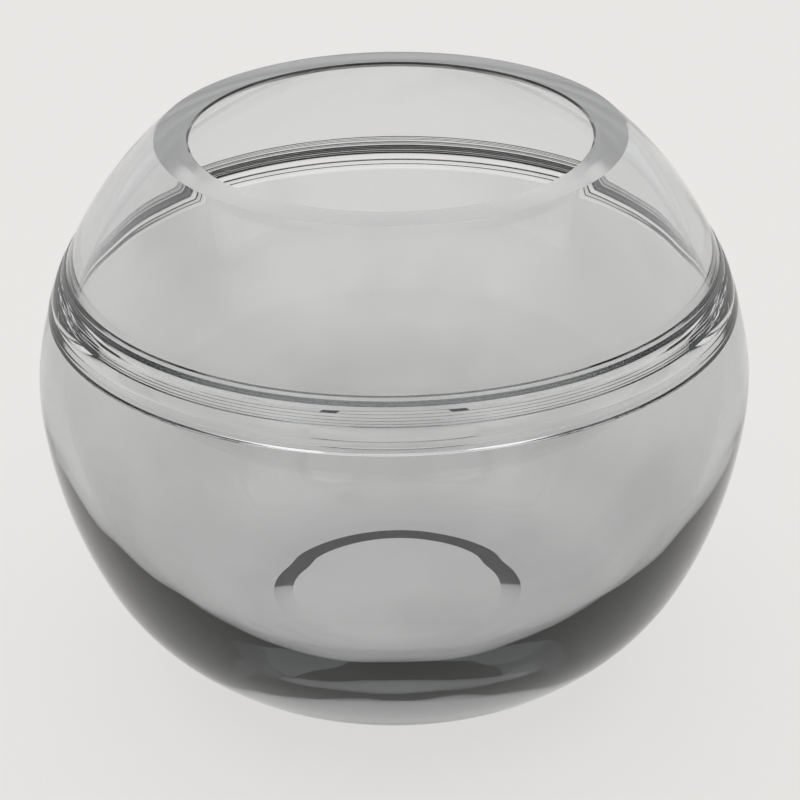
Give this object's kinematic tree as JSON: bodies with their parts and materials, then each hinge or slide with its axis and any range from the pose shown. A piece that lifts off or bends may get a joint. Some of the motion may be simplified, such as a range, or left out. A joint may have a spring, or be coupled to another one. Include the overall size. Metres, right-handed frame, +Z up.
{
  "type": "rose bowl vase",
  "caption": "Round smoke-grey glass rose bowl vase with a thick base, a ringed band at the shoulder and a flat ground mouth.",
  "frame": {"origin": "centre of the foot's contact ring, on the surface that the vase stands on", "axes": "+Z up along the axis of the vase, towards the mouth; X and Y are alike, because the vase is round"},
  "size_m": [0.15, 0.15, 0.119],
  "materials": {
    "clear_glass": "polished clear glass with a smoke-grey tint",
    "satin_glass": "ground satin glass with a smoke-grey tint"
  },
  "bodies": {
    "root": {"lower_bowl": "clear_glass", "band_ring": "clear_glass", "seam_ring": "satin_glass", "shoulder_dome": "clear_glass"}
  },
  "joints": []
}
